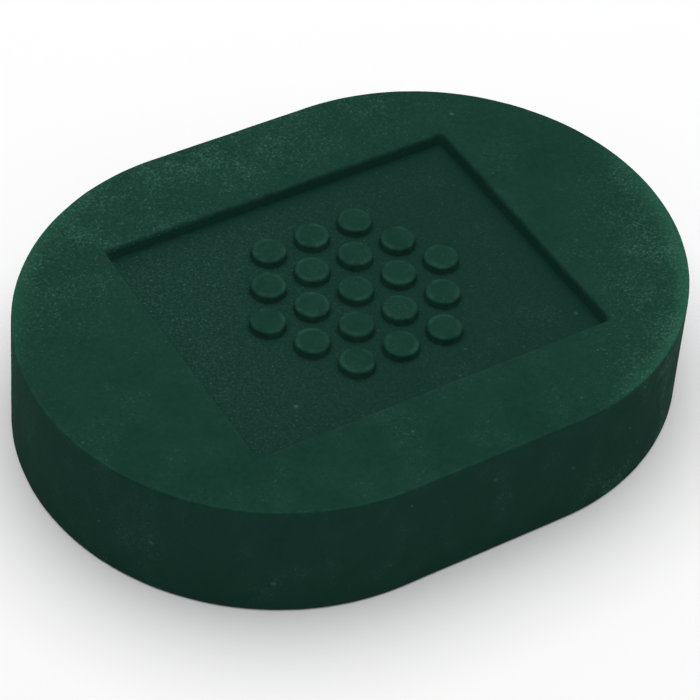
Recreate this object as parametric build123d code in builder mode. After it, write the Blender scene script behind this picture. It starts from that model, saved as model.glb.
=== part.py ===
"""Cue chalk: a pressed chalk cake with a paper label, in a moulded rubber jacket.

Millimetres. +Z is up and X runs along the jacket's length. The origin is at the centre of the
face that it rests on: the jacket's open foot, where the cake's working face looks down.
"""

import os
from math import radians, sin, tan

from build123d import *

# Chalk cake
CAKE_LENGTH = 27.6
CAKE_WIDTH = 21.6
CAKE_HEIGHT = 6.9
CAKE_CORNER = 0.8  # radius of its four upright edges
CAKE_EDGE = 0.3  # bevel round the working face
DISH_DIAMETER = 15.0  # mouth of the hollow that takes the cue tip
DISH_DEPTH = 1.8

# Paper label, glued to the cake's back and sides
LABEL_THICKNESS = 0.2
LABEL_HEM = 0.6  # bare chalk between the working face and the label's edge

# Rubber jacket
END_WALL = 10.0  # rubber past each end of the pocket, at the closed face
SIDE_WALL = 6.6  # rubber past each side of the pocket, at the closed face
WEB = 1.55  # rubber between the pocket and the panel
DRAFT_ANGLE = 1.5  # degrees that the outside wall leans out towards the foot
RIM_ROUND = 0.1  # outer edge of the closed face
FOOT_ROUND = 0.2  # outer edge of the foot

# Pocket that holds the labelled cake
POCKET_CLEARANCE = 0.4  # from the label to the pocket's wall, all round
RIB_CLEARANCE = 0.1  # from the label to the tip of each grip rib
RIB_RADIUS = 0.5
SIDE_RIBS = 3  # on each long wall
END_RIBS = 2  # on each short wall
RIB_PITCH = 8.0
LEAD_IN = 0.5  # bevel round the mouth

# Sunk panel on the closed face, with its raised studs
PANEL_DEPTH = 0.85
PANEL_CORNER = 0.3  # radius of the four edges where its walls meet
PANEL_DRAFT = 25.0  # degrees that its walls lean
PANEL_ROUND = 0.25  # soft edge where the panel's wall meets the closed face
PANEL_ROOT = 0.25  # where its wall meets its floor
STUD_DIAMETER = 2.5
STUD_PITCH = 3.5
STUD_HEIGHT = 0.6
STUD_ROUND = 0.18
STUD_RINGS = 2  # rings of studs round the middle one, packed like balls in a rack

# Sizes that follow from the ones above
label_length = CAKE_LENGTH + 2 * LABEL_THICKNESS
label_width = CAKE_WIDTH + 2 * LABEL_THICKNESS
label_corner = CAKE_CORNER + LABEL_THICKNESS
pocket_length = label_length + 2 * POCKET_CLEARANCE
pocket_width = label_width + 2 * POCKET_CLEARANCE
pocket_corner = label_corner + POCKET_CLEARANCE
pocket_depth = CAKE_HEIGHT + LABEL_THICKNESS
panel_floor = pocket_depth + WEB
jacket_height = panel_floor + PANEL_DEPTH
rim_length = pocket_length + 2 * END_WALL
rim_width = pocket_width + 2 * SIDE_WALL
foot_spread = jacket_height * tan(radians(DRAFT_ANGLE))
dish_radius = ((DISH_DIAMETER / 2) ** 2 + DISH_DEPTH**2) / (2 * DISH_DEPTH)


def rib_centres():
    """Centres of the round grip ribs, along the pocket's four walls."""
    setback = RIB_CLEARANCE + RIB_RADIUS
    beside = label_width / 2 + setback
    beyond = label_length / 2 + setback
    along_sides = [(i - (SIDE_RIBS - 1) / 2) * RIB_PITCH for i in range(SIDE_RIBS)]
    along_ends = [(i - (END_RIBS - 1) / 2) * RIB_PITCH for i in range(END_RIBS)]
    sides = [(x, sign * beside) for x in along_sides for sign in (-1, 1)]
    ends = [(sign * beyond, y) for y in along_ends for sign in (-1, 1)]
    return sides + ends


def stud_centres():
    """Centres of the studs: rows that make up a hexagon, each half a pitch off from the next."""
    centres = []
    for row in range(-STUD_RINGS, STUD_RINGS + 1):
        count = 2 * STUD_RINGS + 1 - abs(row)
        y = row * STUD_PITCH * sin(radians(60))
        centres += [((i - (count - 1) / 2) * STUD_PITCH, y) for i in range(count)]
    return centres


# Chalk cake: a pressed block with a dished working face, which looks down.
with BuildPart() as chalk_cake:
    with BuildSketch():
        RectangleRounded(CAKE_LENGTH, CAKE_WIDTH, CAKE_CORNER)
    extrude(amount=CAKE_HEIGHT)
    working_face = chalk_cake.faces().sort_by(Axis.Z)[0]
    chamfer(working_face.edges(), length=CAKE_EDGE)
    with Locations((0, 0, DISH_DEPTH - dish_radius)):
        Sphere(dish_radius, mode=Mode.SUBTRACT)

# Paper label: one folded sheet over the cake's back and four sides.
with BuildPart() as paper_label:
    with BuildSketch(Plane.XY.offset(LABEL_HEM)):
        RectangleRounded(label_length, label_width, label_corner)
    extrude(amount=pocket_depth - LABEL_HEM)
    with BuildSketch(Plane.XY.offset(LABEL_HEM)):
        RectangleRounded(CAKE_LENGTH, CAKE_WIDTH, CAKE_CORNER)
    extrude(amount=CAKE_HEIGHT - LABEL_HEM, mode=Mode.SUBTRACT)

# Rubber jacket: a stadium-shaped block with a pocket from below and a sunk panel on top.
with BuildPart() as jacket:
    with BuildSketch():
        SlotOverall(rim_length + 2 * foot_spread, rim_width + 2 * foot_spread)
    extrude(amount=jacket_height, taper=DRAFT_ANGLE)
    closed_face = jacket.faces().sort_by(Axis.Z)[-1]
    foot = jacket.faces().sort_by(Axis.Z)[0]
    fillet(closed_face.edges(), radius=RIM_ROUND)
    fillet(foot.edges(), radius=FOOT_ROUND)

    # Pocket with its grip ribs, and the bevel round its mouth
    with BuildSketch():
        RectangleRounded(pocket_length, pocket_width, pocket_corner)
        with Locations(*rib_centres()):
            Circle(RIB_RADIUS, mode=Mode.SUBTRACT)
    extrude(amount=pocket_depth, mode=Mode.SUBTRACT)
    with BuildSketch():
        RectangleRounded(
            pocket_length + 2 * LEAD_IN, pocket_width + 2 * LEAD_IN, pocket_corner + LEAD_IN
        )
    extrude(amount=LEAD_IN, taper=45, mode=Mode.SUBTRACT)

    # Panel, as large as the labelled cake behind it
    with BuildSketch(Plane.XY.offset(jacket_height)):
        Rectangle(label_length, label_width)
    extrude(amount=-PANEL_DEPTH, taper=PANEL_DRAFT, mode=Mode.SUBTRACT)
    panel_corners = jacket.edges().filter_by_position(
        Axis.Z, panel_floor + PANEL_DEPTH / 4, panel_floor + PANEL_DEPTH * 3 / 4
    )
    fillet(panel_corners, radius=PANEL_CORNER)
    panel_face = jacket.faces().filter_by_position(Axis.Z, panel_floor, panel_floor)[0]
    fillet(panel_face.edges(), radius=PANEL_ROOT)
    rim_face = jacket.faces().filter_by(Axis.Z).sort_by(Axis.Z)[-1]
    fillet(rim_face.inner_wires().edges(), radius=PANEL_ROUND)

    # Raised studs
    with BuildSketch(Plane.XY.offset(panel_floor)):
        with Locations(*stud_centres()):
            Circle(STUD_DIAMETER / 2)
    extrude(amount=STUD_HEIGHT)
    stud_tops = jacket.faces().filter_by_position(
        Axis.Z, panel_floor + STUD_HEIGHT, panel_floor + STUD_HEIGHT
    )
    fillet(stud_tops.edges(), radius=STUD_ROUND)

chalk_cake.part.label = "chalk_cake"
paper_label.part.label = "paper_label"
jacket.part.label = "jacket"

os.makedirs("parts", exist_ok=True)
export_step(chalk_cake.part, "parts/chalk_cake.step")
export_step(paper_label.part, "parts/paper_label.step")
export_step(jacket.part, "parts/jacket.step")

print(f"jacket {rim_length:.1f} x {rim_width:.1f} x {jacket_height:.1f}, foot spread {foot_spread:.2f}")
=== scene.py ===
from math import cos, pi, radians, sin, tan

import bpy
import numpy as np
from mathutils import Matrix, Vector, noise


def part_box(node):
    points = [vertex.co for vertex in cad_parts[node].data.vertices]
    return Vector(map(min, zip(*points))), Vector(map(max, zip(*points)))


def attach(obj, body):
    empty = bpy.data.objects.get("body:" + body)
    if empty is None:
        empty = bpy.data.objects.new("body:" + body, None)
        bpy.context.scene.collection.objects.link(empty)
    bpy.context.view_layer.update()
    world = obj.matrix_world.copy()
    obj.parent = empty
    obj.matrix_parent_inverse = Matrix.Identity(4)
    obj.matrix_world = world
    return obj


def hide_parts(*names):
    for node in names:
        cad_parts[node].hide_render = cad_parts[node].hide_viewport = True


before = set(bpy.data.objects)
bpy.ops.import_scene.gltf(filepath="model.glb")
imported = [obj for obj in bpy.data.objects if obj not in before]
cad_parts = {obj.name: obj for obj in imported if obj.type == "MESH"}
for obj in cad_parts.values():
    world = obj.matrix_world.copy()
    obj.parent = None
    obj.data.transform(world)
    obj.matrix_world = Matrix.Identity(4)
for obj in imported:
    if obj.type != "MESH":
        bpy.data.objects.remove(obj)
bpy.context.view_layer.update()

# Every length below is in millimetres, but where a comment says metres. Meshes are turned into
# metres as they are made.
MM = 0.001

# Sizes read from the frame
jacket_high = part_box("jacket")[1] / MM
label_low, label_high = [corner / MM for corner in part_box("paper_label")]
cake_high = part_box("chalk_cake")[1] / MM
HEIGHT = jacket_high.z
LABEL_TOP = label_high.z
HALF_LABEL = np.array([label_high.x, label_high.y])
HALF_CAKE = np.array([cake_high.x, cake_high.y])
CAKE_TOP = cake_high.z
HEM = label_low.z

# Jacket
DRAFT = radians(1.5)
SPREAD = HEIGHT * tan(DRAFT)  # how far the foot stands out past the closed face
RIM_RADIUS = jacket_high.y - SPREAD
STRAIGHT = jacket_high.x - jacket_high.y  # half the length of the straight sides
RIM_ROUND = 0.1
FOOT_ROUND = 0.2
POCKET_CLEARANCE = 0.4
POCKET_CORNER = 1.4
LEAD_IN = 0.5
RIB_RADIUS = 0.5
RIB_CLEARANCE = 0.1
RIB_PLACES = ((-8.0, 0.0, 8.0), (-4.0, 4.0))  # along the pocket's long and short walls
RIM_WEAR_AND_HIGHLIGHT, FOOT_WEAR_AND_HIGHLIGHT = 0.35, 0.3  # how pale the outer edges are from wear and painted highlights, where a stud's edge is 1

# Where rings lie across the closed face and across the foot, as shares of the way
FACE_SHARES = (0.03, 0.1, 0.2, 0.32, 0.45, 0.58, 0.7, 0.8, 0.88, 0.94, 0.98)
FOOT_SHARES = (0.02, 0.1, 0.3, 0.5, 0.7, 0.9, 0.98, 1.0)

# Panel and studs
PANEL_DEPTH = 0.85
PANEL_CORNER = 0.3
PANEL_DRAFT = 25.0  # degrees
PANEL_ROUND = 0.25
PANEL_ROOT = 0.25
STUD_RADIUS = 1.25
STUD_PITCH = 3.5
STUD_RINGS = 2  # rings of studs round the middle one
STUD_HEIGHT = 0.6
STUD_ROUND = 0.18
STUD_FOOT = 0.07  # height and width of the slope round a stud's foot
STUD_LEAN = 0.02  # how far out a stud's wall leans
SHADE_REACH = 0.6  # how far the painted shade at the panel's walls fades over its floor
WALL_SHADE, LIP_SHADE = 0.8, 0.3  # how strongly painted shade darkens two of its walls and lips, where their foot is 1
HALF_BLOCK = np.array([0.5, 0.5 * sin(radians(60))]) * STUD_PITCH  # the floor round one stud

# Chalk
CAKE_CORNER = 0.8
CAKE_EDGE = 0.3
DISH_RADIUS = 7.5
DISH_DEPTH = 1.8
BACK_BEVEL = 0.1

# Label
PAPER = 0.1  # one layer; a corner tab lies over the end like a second one
GLUE = 0.02  # space between paper and chalk before either is roughened, which closes it in places
CEILING_PLAY = 0.05  # between the label's back and the pocket's ceiling, as both are uneven
LABEL_CORNER = 1.0
FOLD_ROUND = 0.25
TAB_START, TAB_SLOPE, TAB_BEVEL = 0.6, 0.75, 0.22  # where a corner tab's free edge runs

# Directions over the jacket, as seen from the camera
RIGHT = (0.85, -0.53, 0)
LEFT = (-0.83, 0.56, 0)
LEFT_AND_BACK = (-0.68, 0.73, 0)
BACK_AND_LEFT = (-0.25, 0.97, 0)

# Colours of the rubber and of the dust on it, and of painted sheen, highlights and shade, in linear
# light
RUBBER_DARK = (0.0072, 0.0325, 0.0210, 1)
RUBBER_LIGHT = (0.0082, 0.0360, 0.0240, 1)
RUBBER_MOTTLED = (0.0100, 0.0420, 0.0290, 1)
RUBBER_IN_PANEL = (0.0068, 0.0280, 0.0208, 1)
RUBBER_SIDE = (0.0112, 0.0385, 0.0288, 1)
# painted sheen on the closed face's outer edge at its two ends
RUBBER_PAINTED_SHEEN = (0.0150, 0.0780, 0.0450, 1)
# painted shade at the foot of two of the panel's walls
RUBBER_SHADED = (0.0022, 0.0170, 0.0150, 1)
# wear and painted highlights along the edges
RUBBER_WEAR_AND_HIGHLIGHT = (0.0180, 0.0700, 0.0500, 1)
DUST_HAZE = (0.0270, 0.0900, 0.0650, 1)
DUST_COARSE = (0.0400, 0.1150, 0.0900, 1)
DUST_FINE = (0.0490, 0.1330, 0.1020, 1)
DUST_FLECK = (0.0500, 0.1250, 0.0980, 1)

# Colours of the chalk
CHALK_DARK = (0.030, 0.150, 0.095, 1)
CHALK_LIGHT = (0.045, 0.195, 0.125, 1)
CHALK_GRAIN = (0.080, 0.280, 0.190, 1)
CHALK_WORN = (0.026, 0.125, 0.080, 1)
CHALK_TURNED = (0.020, 0.105, 0.066, 1)
CHALK_POWDER = (0.095, 0.310, 0.215, 1)
CHALK_CRUMBS = (0.100, 0.320, 0.220, 1)
CHALK_PIT = (0.012, 0.070, 0.045, 1)

# Colours of the label
PAPER_DARK = (0.62, 0.56, 0.43, 1)
PAPER_LIGHT = (0.72, 0.67, 0.54, 1)
PAPER_FIBRE = (0.50, 0.43, 0.31, 1)
PAPER_FOLD = (0.78, 0.74, 0.64, 1)
PAPER_DUST = (0.060, 0.230, 0.150, 1)
INK = (0.012, 0.085, 0.050, 1)
STRIPE_HEIGHT, STRIPE_HALF_WIDTH = 1.6, 0.35

# Studio
FLOOR_DARK = (0.86, 0.86, 0.86, 1)
FLOOR_LIGHT = (0.88, 0.88, 0.88, 1)
CAMERA_AZIMUTH, CAMERA_ELEVATION, CAMERA_ROLL = radians(-34.13), radians(44.91), radians(4.82)
CAMERA_DISTANCE = 188.75
AIM_LEFT, AIM_BELOW = 0.15, 1.18  # from the part's centre to what the camera aims at
SENSOR_WIDTH, FOCAL_LENGTH = 36.0, 137.6


# Mesh building

SHARP_ANGLE = radians(50)  # where two faces meet more sharply than this, their edge isn't smoothed


class Skin:
    """A surface built from rings of points, in millimetres, each ring counter-clockwise from above."""

    def __init__(self):
        self.points = []
        self.faces = []
        self.marks = {}
        self.count = 0

    def add(self, points, **marks):
        """Adds points and returns their indices. marks are numbers kept with them for the material."""
        points = np.asarray(points, float)
        indices = np.arange(self.count, self.count + len(points))
        self.points.append(points)
        for name, value in marks.items():
            self.marks.setdefault(name, []).append((indices, value))
        self.count += len(points)
        return indices

    def band(self, first, second):
        """Joins two rings with quads."""
        after_first, after_second = np.roll(first, -1), np.roll(second, -1)
        self.faces += np.stack([first, second, after_second, after_first], axis=1).tolist()

    def run(self, ring, rings, **marks):
        """Adds rings one after another, joined to each other and to the ring before them."""
        for points in rings:
            following = self.add(points, **marks)
            self.band(ring, following)
            ring = following
        return ring

    def cap(self, ring):
        """Closes the skin with one flat face that looks down."""
        self.faces.append(ring[::-1].tolist())

    def to_object(self, name, material):
        mesh = bpy.data.meshes.new(name)
        mesh.from_pydata((np.concatenate(self.points) * MM).tolist(), [], self.faces)
        for name_of_mark, stretches in self.marks.items():
            column = np.zeros(self.count)
            for indices, value in stretches:
                column[indices] = value
            layer = mesh.attributes.new(name_of_mark, "FLOAT", "POINT")
            layer.data.foreach_set("value", column)
        mesh.polygons.foreach_set("use_smooth", [True] * len(mesh.polygons))
        mesh.set_sharp_from_angle(angle=SHARP_ANGLE)
        mesh.materials.append(material)
        mesh.update()
        piece = bpy.data.objects.new(name, mesh)
        bpy.context.scene.collection.objects.link(piece)
        return piece


def arc(centre, radius, start, end, steps):
    """Points (out, up) on an arc of a profile, between two angles in degrees."""
    angles = np.radians(np.linspace(start, end, steps + 1))
    return [(centre[0] + radius * cos(a), centre[1] + radius * sin(a)) for a in angles]


def crowd(low, high, count, places, reach):
    """count steps from low to high, four times as close together within reach of each place."""
    samples, extra = 4000, 3.0
    fine = np.linspace(low, high, samples)
    weight = np.ones_like(fine)
    for place in places:
        weight += extra * (np.abs(fine - place) < reach)
    total = np.concatenate([[0], np.cumsum((weight[1:] + weight[:-1]) / 2)])
    return np.interp(np.linspace(0, total[-1], count + 1), total, fine)


def boundary(xs, ys):
    """The outline of a grid with those lines, counter-clockwise from its lowest corner."""
    sides = [
        [(x, ys[0]) for x in xs[:-1]],
        [(xs[-1], y) for y in ys[:-1]],
        [(x, ys[-1]) for x in xs[:0:-1]],
        [(xs[0], y) for y in ys[:0:-1]],
    ]
    return np.array([point for side in sides for point in side])


def round_corners(points, half, radius):
    """Moves a rectangle's outline onto its rounded corners."""
    points = points.copy()
    inner = np.sign(points) * (np.asarray(half) - radius)
    beyond = points - inner
    corner = np.all(beyond * np.sign(points) > 0, axis=1)
    length = np.linalg.norm(beyond[corner], axis=1, keepdims=True)
    points[corner] = inner[corner] + beyond[corner] / length * radius
    return points


def at_height(points, height):
    return np.column_stack([points, np.full(len(points), float(height))])


def roughen(skin, amount, size, seed, floor=None):
    """Pushes points about by up to amount along each axis, in lumps of size, alike in each run.

    Blender's vector noise follows the clock unless it has a seed. No point ends up below floor,
    where one is given.
    """
    noise.seed_set(seed)
    shift = Vector((seed * 17.3, seed * 5.1, seed * 9.7))
    for block in skin.points:
        for point in block:
            push = noise.noise_vector(Vector(point) / size + shift)
            point += np.array(push) * amount
            if floor is not None:
                point[2] = max(point[2], floor)


def square_turn(i, j):
    """The angle of each cell (i, j) on its square ring, spaced evenly round a full turn."""
    ring = np.maximum(np.maximum(abs(i), abs(j)), 1)
    sides = [j == ring, i == -ring, j == -ring]
    turns = [2 - i / ring, 4 - j / ring, 6 + i / ring]
    return np.select(sides, turns, default=j / ring) * pi / 4


def cells(steps):
    """Cell numbers (i, j) of a square of 2 * steps cells, and the ring that each is on."""
    i, j = np.meshgrid(np.arange(-steps, steps + 1), np.arange(-steps, steps + 1), indexing="ij")
    return i, j, np.maximum(abs(i), abs(j))


def quads(table):
    """The faces of a grid of point indices."""
    corners = [table[:-1, :-1], table[1:, :-1], table[1:, 1:], table[:-1, 1:]]
    return np.stack(corners, axis=-1).reshape(-1, 4).tolist()


# Jacket

def stud_profile(steps):
    """Radius and height of a stud's rings, from its centre out to the panel's floor."""
    flat = [(r, STUD_HEIGHT) for r in np.linspace(0, STUD_RADIUS - STUD_ROUND, steps - 5)]
    edge = arc((STUD_RADIUS - STUD_ROUND, STUD_HEIGHT - STUD_ROUND), STUD_ROUND, 90, 0, 3)[1:]
    foot = [(STUD_RADIUS + STUD_LEAN, STUD_FOOT), (STUD_RADIUS + STUD_FOOT, 0.0)]
    return np.array(flat + edge + foot)


def stud_centres():
    """Rows that make up a hexagon, each half a pitch off from the next."""
    centres = []
    for row in range(-STUD_RINGS, STUD_RINGS + 1):
        ends = 2 * STUD_RINGS - abs(row)
        centres += [HALF_BLOCK * (across, 2 * row) for across in range(-ends, ends + 1, 2)]
    return centres


def panel_floor(skin, half, corner):
    """The panel's floor with its studs: a grid whose cells are drawn into rings round each stud."""
    steps, margin_steps = 10, 14
    crowding = 0.6  # below 1, the margin's lines lie closer together towards the wall
    level = HEIGHT - PANEL_DEPTH
    blocks = 2 * STUD_RINGS + 1
    lines = []
    for block, edge in zip(HALF_BLOCK, half):
        studs = np.linspace(-blocks, blocks, 2 * blocks * steps + 1) * block
        margin = studs[-1] + (edge - studs[-1]) * np.linspace(0, 1, margin_steps) ** crowding
        lines.append(np.concatenate([-margin[:0:-1], studs, margin[1:]]))
    xs, ys = lines
    grid = np.stack(np.meshgrid(xs, ys, [level], indexing="ij"), axis=-1)[:, :, 0]
    # The floor carries painted shade, strongest at the foot of the walls at +X and +Y
    from_wall = np.min(half - grid[..., :2], axis=-1)
    marks = {
        "edge": np.zeros(grid.shape[:2]),
        "recess": np.ones(grid.shape[:2]),
        "shade": np.exp(-from_wall / SHADE_REACH),
    }

    i, j, ring = cells(steps - 1)
    last_flat_ring, last_edge_ring = steps - 6, steps - 3
    radius, height = stud_profile(steps)[ring].transpose(2, 0, 1)
    turn = square_turn(i, j)
    for x, y in stud_centres():
        middle = np.argmin(abs(xs - x)), np.argmin(abs(ys - y))
        block = tuple(slice(m - steps + 1, m + steps) for m in middle)
        offsets = (x + radius * np.cos(turn), y + radius * np.sin(turn), level + height)
        grid[block] = np.stack(offsets, axis=-1)
        marks["recess"][block] = height < STUD_FOOT / 2
        marks["edge"][block] = (ring >= last_flat_ring) & (ring <= last_edge_ring)

    rim = boundary(np.arange(len(xs)), np.arange(len(ys))).T
    grid[tuple(rim)] = at_height(round_corners(boundary(xs, ys), half, corner), level)
    indices = skin.add(grid.reshape(-1, 3), **{name: m.reshape(-1) for name, m in marks.items()})
    table = indices.reshape(grid.shape[:2])
    skin.faces += quads(table)
    return table[tuple(rim)], xs / half[0], ys / half[1]


def stadium(directions):
    """Points of the closed face's outline in those directions from its centre, and their normals."""
    points, normals = [], []
    tiny = 1e-9  # keeps a direction along X from dividing by nothing
    for d in directions / np.linalg.norm(directions, axis=1, keepdims=True):
        reach = RIM_RADIUS / max(abs(d[1]), tiny)
        centre = np.array([np.clip(reach * d[0], -STRAIGHT, STRAIGHT), 0.0])
        if abs(reach * d[0]) > STRAIGHT:
            along = d @ centre
            reach = along + (along**2 - STRAIGHT**2 + RIM_RADIUS**2) ** 0.5
        point = reach * d
        points.append(point)
        normals.append((point - centre) / RIM_RADIUS)
    return np.array(points), np.array(normals)


def pocket_outline(counts, clearance, corner, ribs):
    """The pocket's outline at a clearance from the label, with its round grip ribs if asked for."""
    half = HALF_LABEL + clearance
    sides = []
    for reach, count, places in zip(half, counts, RIB_PLACES):
        ends = (corner / 2 - reach, reach - corner / 2)
        sides.append(crowd(-reach, reach, count, (*places, *ends), corner / 2))
    points = boundary(*sides)
    for axis, places in enumerate(RIB_PLACES if ribs else ()):
        across = 1 - axis
        on_wall = np.isclose(abs(points[:, across]), half[across])
        for place in places:
            along = abs(points[:, axis] - place)
            bulge = np.sqrt(np.clip(RIB_RADIUS**2 - along**2, 0, None))
            push = np.clip(bulge - RIB_CLEARANCE - RIB_RADIUS + clearance, 0, None) * on_wall
            points[:, across] -= np.sign(points[:, across]) * push
    return round_corners(points, half, corner)


def make_jacket(material):
    """One closed skin: panel and studs, closed face, side, foot and pocket."""
    skin = Skin()
    wall_foot = -PANEL_DEPTH * tan(radians(PANEL_DRAFT))
    bend = tan(radians(90 - PANEL_DRAFT) / 2)
    root_centre = wall_foot - PANEL_ROOT * bend
    lip_centre = PANEL_ROUND * bend
    ring, share_x, share_y = panel_floor(skin, HALF_LABEL + root_centre, PANEL_CORNER / 2)

    def panel_ring(out, height):
        reach = HALF_LABEL + out
        outline = boundary(share_x * reach[0], share_y * reach[1])
        corner = np.interp(out, (root_centre, wall_foot), (PANEL_CORNER / 2, PANEL_CORNER))
        return at_height(round_corners(outline, reach, corner + max(out, 0)), height)

    # Painted shade darkens the rubber along the two walls that face -X and -Y
    at_wall = 0.99
    dark = np.any(boundary(share_x, share_y) > at_wall, axis=1).astype(float)
    root_middle = (root_centre, HEIGHT - PANEL_DEPTH + PANEL_ROOT)
    root = arc(root_middle, PANEL_ROOT, -90, -PANEL_DRAFT, 4)
    ring = skin.run(ring, [panel_ring(*p) for p in root[1:]], recess=1.0, shade=dark)
    lip = arc((lip_centre, HEIGHT - PANEL_ROUND), PANEL_ROUND, 180 - PANEL_DRAFT, 90, 5)
    wall = np.linspace(root[-1], lip[0], 4)[1:-1]
    ring = skin.run(ring, [panel_ring(*p) for p in wall], recess=0.5, shade=dark * WALL_SHADE)
    ring = skin.run(ring, [panel_ring(*p) for p in lip[:-1]], lip=1.0, shade=dark * LIP_SHADE)
    ring = skin.run(ring, [panel_ring(*lip[-1])])

    inner = panel_ring(*lip[-1])[:, :2]
    outer, normals = stadium(inner)

    def outside(out, height):
        return at_height(outer + normals * out, height)

    flat_edge = outer - normals * RIM_ROUND
    for share in FACE_SHARES:
        points = at_height(inner + (flat_edge - inner) * share, HEIGHT)
        ring = skin.run(ring, [points], outward=share)
    rim = arc((-RIM_ROUND, HEIGHT - RIM_ROUND), RIM_ROUND, 90, 0, 4)
    ring = skin.run(ring, [outside(*p) for p in rim], edge=RIM_WEAR_AND_HIGHLIGHT, outward=1.0)
    heights = np.linspace(HEIGHT - RIM_ROUND, FOOT_ROUND, 22)[1:-1]
    wall = [((HEIGHT - h) * tan(DRAFT), h) for h in heights]
    ring = skin.run(ring, [outside(*p) for p in wall], side=1.0)
    foot = arc((SPREAD - FOOT_ROUND, FOOT_ROUND), FOOT_ROUND, 0, -90, 4)
    ring = skin.run(ring, [outside(*p) for p in foot], side=1.0, edge=FOOT_WEAR_AND_HIGHLIGHT)

    counts = (len(share_x) - 1, len(share_y) - 1)
    mouth = POCKET_CLEARANCE + LEAD_IN
    mouth_ring = pocket_outline(counts, mouth, POCKET_CORNER + LEAD_IN, ribs=False)
    foot_edge = outside(*foot[-1])[:, :2]
    for share in FOOT_SHARES:
        ring = skin.run(ring, [at_height(foot_edge + (mouth_ring - foot_edge) * share, 0)])
    for depth in np.linspace(0.05, 1.0, 5) * LEAD_IN:
        outline = pocket_outline(counts, mouth - depth, POCKET_CORNER + LEAD_IN - depth, ribs=True)
        ring = skin.run(ring, [at_height(outline, depth)], pocket=1.0)
    wall_outline = pocket_outline(counts, POCKET_CLEARANCE, POCKET_CORNER, ribs=True)
    heights = np.linspace(LEAD_IN, LABEL_TOP, 6)[1:]
    ring = skin.run(ring, [at_height(wall_outline, h) for h in heights], pocket=1.0)
    skin.cap(ring)

    roughen(skin, amount=0.012, size=2.6, seed=1, floor=0.0)
    roughen(skin, amount=0.006, size=0.7, seed=2, floor=0.0)
    return skin.to_object("jacket_moulding", material)


# Chalk

def make_cake(material):
    """The pressed block, built upside down from the middle of its worn dish."""
    skin = Skin()
    steps, dish_steps = 44, 30
    i, j, ring = cells(steps)
    turn = square_turn(i, j)
    dish = np.minimum(ring / dish_steps, 1.0)[..., None]
    round_part = np.stack([np.cos(turn), np.sin(turn)], axis=-1) * dish * DISH_RADIUS
    half = HALF_CAKE - CAKE_EDGE
    corner = CAKE_CORNER - CAKE_EDGE / 2
    square = np.stack([i, j], axis=-1).reshape(-1, 2) / steps * half
    square = round_corners(square, half, corner).reshape(round_part.shape)
    share = np.clip((ring - dish_steps) / (steps - dish_steps), 0, 1)[..., None]
    across = np.linalg.norm(round_part, axis=-1)
    ball = (DISH_RADIUS**2 + DISH_DEPTH**2) / (2 * DISH_DEPTH)
    depth = np.sqrt(ball**2 - across**2) - ball + DISH_DEPTH
    depth *= share[..., 0] == 0
    grid = np.concatenate([round_part * (1 - share) + square * share, depth[..., None]], axis=-1)
    indices = skin.add(grid.reshape(-1, 3), worn=(share == 0).reshape(-1) * 1.0)
    table = indices.reshape(ring.shape)
    skin.faces += quads(table)
    rim = boundary(np.arange(2 * steps + 1), np.arange(2 * steps + 1)).T
    outline = boundary(np.linspace(-1, 1, 2 * steps + 1), np.linspace(-1, 1, 2 * steps + 1))

    def side_ring(inset, height):
        reach = HALF_CAKE - inset
        return at_height(round_corners(outline * reach, reach, CAKE_CORNER - inset / 2), height)

    bevel = [(CAKE_EDGE * (1 - s), CAKE_EDGE * s) for s in (0.25, 0.5, 0.75, 1.0)]
    side = [(0.0, h) for h in np.linspace(CAKE_EDGE, CAKE_TOP - BACK_BEVEL, 12)[1:]]
    back = [(BACK_BEVEL, CAKE_TOP - GLUE)]
    ring = skin.run(table[tuple(rim)], [side_ring(*p) for p in bevel], crumbly=1.0)
    ring = skin.run(ring, [side_ring(*p) for p in side + back])
    skin.cap(ring)
    skin.faces = [face[::-1] for face in skin.faces]
    roughen(skin, amount=0.03, size=0.8, seed=3, floor=0.0)
    roughen(skin, amount=0.02, size=0.3, seed=4, floor=0.0)
    return skin.to_object("chalk_block", material)


# Label

def pleat(across, below):
    """How far a folded corner tab stands off the end face, from 0 to 1.

    across is the distance from the block's corner and below the distance from its back. The tab's
    free edge runs down from the corner, away from it.
    """
    free_edge = TAB_START + below * TAB_SLOPE
    return np.clip((free_edge - across) / TAB_BEVEL, 0, 1)


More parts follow.
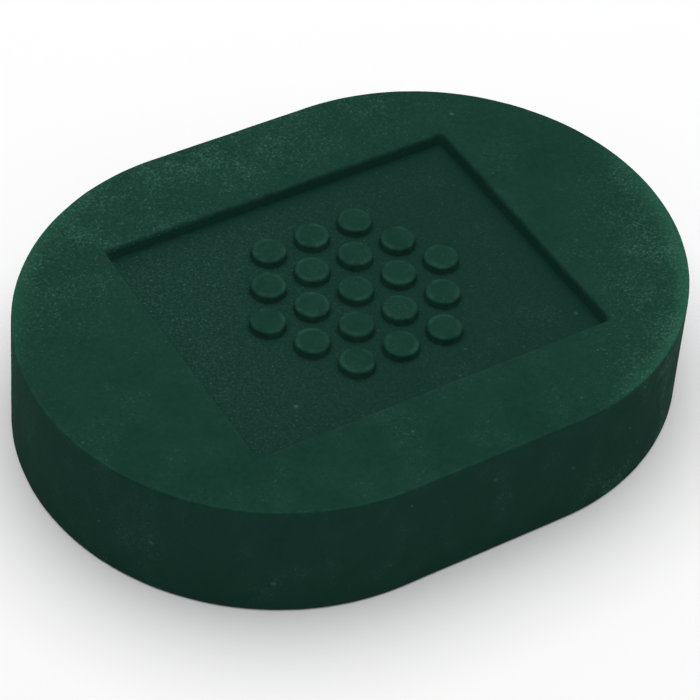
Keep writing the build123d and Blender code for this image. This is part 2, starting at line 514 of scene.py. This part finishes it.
def make_label(material):
    """The sheet over the cake's back, folded down its four sides, with tabs at the corners."""
    skin = Skin()
    xs, ys = np.linspace(-1, 1, 91), np.linspace(-1, 1, 111)
    outline = boundary(xs, ys)
    reach = HALF_LABEL - PAPER
    top = LABEL_TOP - CEILING_PLAY
    hair = 0.01  # a point this near an end of the block counts as on it

    def ring_at(inset, height):
        points = round_corners(outline * (reach - inset), reach - inset, LABEL_CORNER - inset)
        end = abs(points[:, 0]) > reach[0] - inset - hair
        across = reach[1] - abs(points[:, 1])
        lift = pleat(across, top - height) * end * (PAPER - GLUE)
        points[:, 0] += np.sign(points[:, 0]) * lift
        return at_height(points, height)

    grid = np.stack(np.meshgrid(xs, ys, [top], indexing="ij"), axis=-1)[:, :, 0]
    grid[..., :2] *= reach - FOLD_ROUND
    rim = boundary(np.arange(len(xs)), np.arange(len(ys))).T
    grid[tuple(rim)] = ring_at(FOLD_ROUND, top)
    table = skin.add(grid.reshape(-1, 3), back=1.0).reshape(grid.shape[:2])
    skin.faces += quads(table)
    fold = arc((0, top - FOLD_ROUND), FOLD_ROUND, 90, 0, 4)[1:]
    ring = skin.run(table[tuple(rim)], [ring_at(FOLD_ROUND - x, z) for x, z in fold], fold=1.0)
    heights = np.linspace(top - FOLD_ROUND, HEM, 30)[1:]
    ring = skin.run(ring, [ring_at(0, h) for h in heights])
    inner = HALF_CAKE + GLUE

    def inner_ring(height):
        return at_height(round_corners(outline * inner, inner, CAKE_CORNER), height)

    ring = skin.run(ring, [inner_ring(h) for h in np.linspace(HEM, CAKE_TOP + GLUE, 4)])
    skin.cap(ring)
    roughen(skin, amount=0.03, size=4.0, seed=5)
    roughen(skin, amount=0.012, size=1.1, seed=6)
    return skin.to_object("label_sheet", material)


# Materials

class Nodes:
    """Short calls for making a procedural material."""

    def __init__(self, name):
        self.material = bpy.data.materials.new(name)
        self.material.use_nodes = True
        self.tree = self.material.node_tree
        self.shader = self.tree.nodes["Principled BSDF"]

    def node(self, kind, settings=(), **sockets):
        made = self.tree.nodes.new("ShaderNode" + kind)
        for name, value in dict(settings).items():
            setattr(made, name, value)
        for name, value in sockets.items():
            self.plug(value, made.inputs[name.replace("_", " ")])
        return made

    def plug(self, value, socket):
        if isinstance(value, bpy.types.NodeSocket):
            self.tree.links.new(value, socket)
        else:
            socket.default_value = value

    def math(self, operation, first, second=0.0, clamp=False):
        made = self.tree.nodes.new("ShaderNodeMath")
        made.operation = operation
        made.use_clamp = clamp
        self.plug(first, made.inputs[0])
        self.plug(second, made.inputs[1])
        return made.outputs[0]

    def place(self, stretch=(1, 1, 1), turn=0.0):
        """Where a point lies on the object, in millimetres."""
        where = self.node("TexCoord").outputs["Object"]
        scale = tuple(s / MM for s in stretch)
        turned = self.node("VectorRotate", {"rotation_type": "Z_AXIS"}, Vector=where, Angle=turn)
        made = self.tree.nodes.new("ShaderNodeVectorMath")
        made.operation = "MULTIPLY"
        self.plug(turned.outputs[0], made.inputs[0])
        made.inputs[1].default_value = scale
        return made.outputs[0]

    def noise(self, where, size, detail=2.0, roughness=0.5):
        """A noise between 0 and 1 whose lumps are about size millimetres across."""
        made = self.node("TexNoise", Vector=where, Scale=1 / size, Detail=detail, Roughness=roughness)
        return made.outputs[0]

    def spread(self, value, low, high, to_low=0.0, to_high=1.0):
        """value, stretched from low..high to to_low..to_high, and no further."""
        made = self.tree.nodes.new("ShaderNodeMapRange")
        for socket, number in zip(made.inputs, (value, low, high, to_low, to_high)):
            self.plug(number, socket)
        return made.outputs[0]

    def mix(self, share, first, second):
        made = self.tree.nodes.new("ShaderNodeMix")
        made.data_type = "RGBA"
        self.plug(share, made.inputs[0])
        self.plug(first, made.inputs[6])
        self.plug(second, made.inputs[7])
        return made.outputs[2]

    def mark(self, name):
        return self.node("Attribute", {"attribute_name": name}).outputs["Fac"]

    def along(self, where, direction):
        """How far a place lies in a direction, in millimetres."""
        made = self.tree.nodes.new("ShaderNodeVectorMath")
        made.operation = "DOT_PRODUCT"
        self.plug(where, made.inputs[0])
        made.inputs[1].default_value = direction
        return made.outputs["Value"]

    def specks(self, where, size, reach, amount):
        """Dots about reach of a cell across; amount, from 0 to 1, is the share of cells with one."""
        dots = self.node("TexVoronoi", Vector=where, Scale=1 / size)
        chance = self.node("SeparateColor", Color=dots.outputs["Color"]).outputs[0]
        near = self.spread(dots.outputs["Distance"], reach, reach * 0.3)
        return self.math("MULTIPLY", near, self.math("LESS_THAN", chance, amount))

    def grains(self, where, size, amount):
        """Uneven grains about size millimetres across; amount, from 0 to 1, says how many."""
        level = self.spread(amount, 0.0, 1.0, 0.76, 0.48)
        above = self.math("SUBTRACT", self.noise(where, size, detail=1.0), level)
        return self.spread(above, 0.0, 0.16)

    def bump(self, height, depth, base=None):
        """A bump of depth millimetres for a height from 0 to 1."""
        made = self.node("Bump", Height=height, Distance=depth * MM)
        if base is not None:
            self.plug(base, made.inputs["Normal"])
        return made.outputs[0]

    def finish(self, colour, roughness, normal=None, **sockets):
        self.plug(colour, self.shader.inputs["Base Color"])
        self.plug(roughness, self.shader.inputs["Roughness"])
        if normal is not None:
            self.plug(normal, self.shader.inputs["Normal"])
        for name, value in sockets.items():
            self.plug(value, self.shader.inputs[name.replace("_", " ")])
        return self.material


def dust_amount(n, where, side, recess, pocket, shade):
    """How much chalk dust lies at each place: most at the jacket's ends, where it is partly painted
    sheen, and in its pocket.
    """
    # Towards the two ends the pale dust is partly painted sheen
    left_dust_and_sheen = n.spread(n.along(where, BACK_AND_LEFT), 1.0, 17.0)
    right_dust_and_sheen = n.spread(n.along(where, RIGHT), 12.5, 22.0, 0.0, 1.15)
    patches = n.spread(n.noise(where, 3.0, detail=3.0), 0.40, 0.64)
    uneven = n.spread(patches, 0.0, 1.0, 0.6, 0.95)
    dust = n.math("MULTIPLY", n.math("MAXIMUM", left_dust_and_sheen, right_dust_and_sheen), uneven)
    dust = n.math("MAXIMUM", dust, n.math("MULTIPLY", patches, 0.42))
    on_floor = n.spread(n.along(where, LEFT), -4.0, 12.0, 0.28, 0.60)
    dust = n.math("MAXIMUM", dust, n.math("MULTIPLY", recess, on_floor))
    streaks = n.noise(n.place(stretch=(1.0, 1.0, 0.6)), 3.0, detail=4.0, roughness=0.7)
    on_side = n.spread(streaks, 0.44, 0.58, 0.05, 1.25)
    dust = n.math("MULTIPLY", dust, n.spread(side, 0.0, 1.0, 1.0, on_side))
    # Less dust under the painted shade, so that it looks darker still
    dust = n.math("MULTIPLY", dust, n.spread(shade, 0.0, 1.0, 1.0, 0.3))
    return n.math("MAXIMUM", dust, pocket)


def rubber_material():
    """Moulded dark green rubber, dusted with chalk and paler along its edges from wear and painted
    highlights.
    """
    n = Nodes("jacket_rubber")
    where = n.place()
    edge, recess, side, lip = [n.mark(name) for name in ("edge", "recess", "side", "lip")]
    outward, pocket, shade = n.mark("outward"), n.mark("pocket"), n.mark("shade")

    clouds = n.noise(where, 4.0, detail=2.0)
    mottle = n.noise(where, 0.45, detail=3.0, roughness=0.6)
    grain = n.noise(where, 0.20, detail=1.0)
    green = n.mix(n.spread(clouds, 0.35, 0.65), RUBBER_DARK, RUBBER_LIGHT)
    green = n.mix(n.spread(mottle, 0.35, 0.7, 0.0, 0.6), green, RUBBER_MOTTLED)
    green = n.mix(n.math("MULTIPLY", recess, 0.8), green, RUBBER_IN_PANEL)
    bloom = n.math("MULTIPLY", side, n.spread(n.noise(where, 2.0, detail=3.0), 0.35, 0.65, 0.55, 1.0))
    green = n.mix(bloom, green, RUBBER_SIDE)
    # Painted sheen along the outer edge of the closed face at its two ends
    left_sheen = n.spread(n.along(where, LEFT_AND_BACK), 18.5, 22.0, 0.0, 0.7)
    right_sheen = n.spread(n.along(where, RIGHT), 16.5, 22.5)
    ends = n.math("MAXIMUM", left_sheen, right_sheen)
    painted_sheen = n.math("MULTIPLY", n.spread(outward, 0.82, 1.0), ends)
    green = n.mix(painted_sheen, green, RUBBER_PAINTED_SHEEN)
    # Painted shade at the foot of two of the panel's walls
    green = n.mix(n.math("MULTIPLY", shade, 0.42), green, RUBBER_SHADED)

    dust = dust_amount(n, where, side, recess, pocket, shade)
    haze = n.math("MULTIPLY", dust, n.spread(grain, 0.30, 0.70, 0.0, 0.34))
    green = n.mix(haze, green, DUST_HAZE)
    coarse = n.grains(where, 0.30, n.math("MULTIPLY", dust, 0.9))
    fine = n.grains(where, 0.18, dust)
    flecks = n.math("MAXIMUM", n.specks(where, 1.3, 0.11, 0.12), n.specks(where, 3.1, 0.08, 0.20))
    green = n.mix(n.math("MULTIPLY", coarse, 0.25), green, DUST_COARSE)
    green = n.mix(n.math("MULTIPLY", fine, 0.46), green, DUST_FINE)
    green = n.mix(n.math("MULTIPLY", flecks, 0.5), green, DUST_FLECK)

    # Wear and painted highlights along the rims, the studs' edges and the panel's lip
    wear_and_highlight = n.spread(n.noise(where, 0.9, detail=3.0), 0.4, 0.70, 0.05, 0.7)
    rims = n.math("MAXIMUM", edge, n.spread(outward, 0.97, 1.0, 0.0, 0.15))
    rims = n.math("MAXIMUM", rims, n.math("MULTIPLY", lip, 0.4))
    green = n.mix(n.math("MULTIPLY", rims, wear_and_highlight), green, RUBBER_WEAR_AND_HIGHLIGHT)

    roughness = n.spread(mottle, 0.3, 0.7, 0.62, 0.75)
    normal = n.bump(grain, 0.010)
    normal = n.bump(mottle, 0.02, base=normal)
    normal = n.bump(fine, 0.015, base=normal)
    return n.finish(green, roughness, normal, Specular_IOR_Level=0.004)


def chalk_material():
    """Pressed green powder, with a dish that cue tips have turned and rubbed into it."""
    n = Nodes("chalk")
    where = n.place()
    worn, crumbly = n.mark("worn"), n.mark("crumbly")
    clouds = n.noise(where, 3.0, detail=3.0)
    grain = n.noise(where, 0.16, detail=3.0, roughness=0.7)
    lumps = n.noise(where, 0.6, detail=3.0, roughness=0.6)
    green = n.mix(n.spread(clouds, 0.35, 0.65), CHALK_DARK, CHALK_LIGHT)
    green = n.mix(n.spread(grain, 0.40, 0.70, 0.0, 0.7), green, CHALK_GRAIN)

    swirl = n.node(
        "TexWave", {"wave_type": "RINGS", "rings_direction": "Z"},
        Vector=where, Scale=0.30, Distortion=7.0, Detail=4.0, Detail_Scale=0.35, Detail_Roughness=0.7,
    ).outputs["Fac"]
    turned = n.spread(n.noise(where, 2.6, detail=2.0), 0.44, 0.60)
    marks = n.math("MULTIPLY", n.math("MULTIPLY", swirl, worn), turned)
    green = n.mix(n.math("MULTIPLY", worn, 0.35), green, CHALK_WORN)
    green = n.mix(n.math("MULTIPLY", marks, 0.5), green, CHALK_TURNED)
    powder = n.spread(n.noise(where, 1.4, detail=4.0, roughness=0.7), 0.52, 0.68, 0.0, 0.6)
    green = n.mix(powder, green, CHALK_POWDER)
    green = n.mix(n.math("MULTIPLY", crumbly, n.spread(grain, 0.4, 0.6)), green, CHALK_CRUMBS)
    pits = n.specks(where, 0.6, 0.18, 0.4)
    green = n.mix(n.math("MULTIPLY", pits, 0.7), green, CHALK_PIT)

    normal = n.bump(grain, 0.05)
    normal = n.bump(lumps, 0.08, base=normal)
    normal = n.bump(marks, 0.10, base=normal)
    normal = n.bump(n.math("SUBTRACT", 1.0, pits), 0.08, base=normal)
    return n.finish(green, n.spread(grain, 0.3, 0.7, 0.9, 1.0), normal, Specular_IOR_Level=0.1)


def frame_line(n, where, inset, width):
    """A printed rectangle on the label's back, its outer edge at an inset from the folds."""
    parts = n.node("SeparateXYZ", Vector=where).outputs
    beyond = [n.math("SUBTRACT", n.math("ABSOLUTE", parts[k]), HALF_LABEL[k] - inset) for k in (0, 1)]
    out = n.math("MAXIMUM", *beyond)
    inside = n.math("LESS_THAN", out, 0.0)
    return n.math("MULTIPLY", inside, n.math("GREATER_THAN", out, -width))


def paper_material():
    """Coated cream paper with a plain printed border, scuffed and green with chalk at its hem."""
    n = Nodes("label_paper")
    where = n.place()
    back, fold = n.mark("back"), n.mark("fold")
    height = n.node("SeparateXYZ", Vector=where).outputs["Z"]
    clouds = n.noise(where, 6.0, detail=3.0)
    fibres = n.noise(n.place(stretch=(0.4, 3.0, 3.0), turn=0.6), 0.5, detail=4.0, roughness=0.7)
    cream = n.mix(n.spread(clouds, 0.3, 0.7), PAPER_DARK, PAPER_LIGHT)
    cream = n.mix(n.spread(fibres, 0.45, 0.75, 0.0, 0.4), cream, PAPER_FIBRE)

    bold_line = frame_line(n, where, inset=1.2, width=0.8)
    fine_line = frame_line(n, where, inset=2.5, width=0.2)
    border = n.math("MULTIPLY", n.math("ADD", bold_line, fine_line), back)
    from_stripe = n.math("ABSOLUTE", n.math("SUBTRACT", height, STRIPE_HEIGHT))
    stripe = n.math("LESS_THAN", from_stripe, STRIPE_HALF_WIDTH)
    ink = n.math("ADD", border, n.math("MULTIPLY", stripe, n.math("SUBTRACT", 1.0, back)), clamp=True)
    scuffs = n.spread(n.noise(where, 0.5, detail=4.0, roughness=0.7), 0.56, 0.64)
    ink = n.math("MULTIPLY", ink, n.math("SUBTRACT", 1.0, n.math("MULTIPLY", scuffs, 0.8)))
    paper = n.mix(n.math("MULTIPLY", ink, 0.9), cream, INK)
    paper = n.mix(n.math("MULTIPLY", fold, n.spread(scuffs, 0, 1, 0.1, 0.6)), paper, PAPER_FOLD)

    low = n.spread(height, HEM + 2.0, HEM)
    green_dust = n.grains(where, 0.25, n.spread(low, 0.0, 1.0, 0.15, 0.9))
    paper = n.mix(n.math("MULTIPLY", green_dust, 0.55), paper, PAPER_DUST)
    normal = n.bump(fibres, 0.02)
    normal = n.bump(n.noise(where, 2.2, detail=2.0), 0.10, base=normal)
    return n.finish(paper, n.spread(scuffs, 0.0, 1.0, 0.5, 0.8), normal, Specular_IOR_Level=0.35)


def floor_material():
    """Plain white, with a faint change of tone."""
    n = Nodes("studio_floor")
    tone = n.noise(n.place(), 60.0, detail=2.0)
    colour = n.mix(tone, FLOOR_DARK, FLOOR_LIGHT)
    return n.finish(colour, 0.8, Specular_IOR_Level=0.1)


# Scene

def make_camera(centre):
    """A long lens, three quarters from the front left and 45 degrees up, tilted a little."""
    level = cos(CAMERA_ELEVATION)
    back = Vector((sin(CAMERA_AZIMUTH) * level, -cos(CAMERA_AZIMUTH) * level, sin(CAMERA_ELEVATION)))
    place = centre + back * CAMERA_DISTANCE * MM
    level_right = Vector((0, 0, 1)).cross(back).normalized()
    level_up = back.cross(level_right)
    right = level_right * cos(CAMERA_ROLL) + level_up * sin(CAMERA_ROLL)
    up = level_up * cos(CAMERA_ROLL) - level_right * sin(CAMERA_ROLL)
    aim = centre - right * AIM_LEFT * MM - up * AIM_BELOW * MM
    back = (place - aim).normalized()
    right = up.cross(back).normalized()
    up = back.cross(right)
    data = bpy.data.cameras.new("camera")
    data.sensor_width = SENSOR_WIDTH
    data.lens = FOCAL_LENGTH
    data.clip_start, data.clip_end = 0.01, 20.0  # metres
    camera = bpy.data.objects.new("camera", data)
    camera.matrix_world = Matrix.Translation(place) @ Matrix((right, up, back)).transposed().to_4x4()
    bpy.context.scene.collection.objects.link(camera)
    bpy.context.scene.camera = camera


def make_floor():
    """A wide floor, in metres, a hair below the faces that the part rests on."""
    mesh = bpy.data.meshes.new("studio_floor")
    half, level = 6.0, -0.00003
    corners = [(-half, -half, level), (half, -half, level), (half, half, level), (-half, half, level)]
    mesh.from_pydata(corners, [], [(0, 1, 2, 3)])
    mesh.materials.append(floor_material())
    floor = bpy.data.objects.new("studio_floor", mesh)
    bpy.context.scene.collection.objects.link(floor)


def make_light(name, place, size, power, target):
    """A round area light, in metres and watts, that faces the target."""
    data = bpy.data.lights.new(name, "AREA")
    data.shape = "DISK"
    data.size = size
    data.energy = power
    light = bpy.data.objects.new(name, data)
    light.location = place
    light.rotation_mode = "QUATERNION"
    light.rotation_quaternion = (Vector(place) - target).to_track_quat("Z", "Y")
    bpy.context.scene.collection.objects.link(light)


def make_world(brightness):
    """Even white light from everywhere."""
    world = bpy.data.worlds.new("studio")
    world.use_nodes = True
    background = world.node_tree.nodes["Background"]
    background.inputs["Color"].default_value = (1, 1, 1, 1)
    background.inputs["Strength"].default_value = brightness
    bpy.context.scene.world = world


bpy.context.scene.view_settings.view_transform = "Standard"
centre = Vector((0, 0, HEIGHT / 2 * MM))
make_camera(centre)
make_world(brightness=0.35)
make_floor()
make_light("overhead_softbox", place=(0.03, 0.06, 0.45), size=0.70, power=2.6, target=centre)

pieces = [
    (make_jacket(rubber_material()), "jacket", "jacket", "jacket_rubber"),
    (make_cake(chalk_material()), "chalk", "chalk_cake", "chalk"),
    (make_label(paper_material()), "chalk", "paper_label", "label_paper"),
]
for piece, body, node, slot in pieces:
    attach(piece, body)
    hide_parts(node)
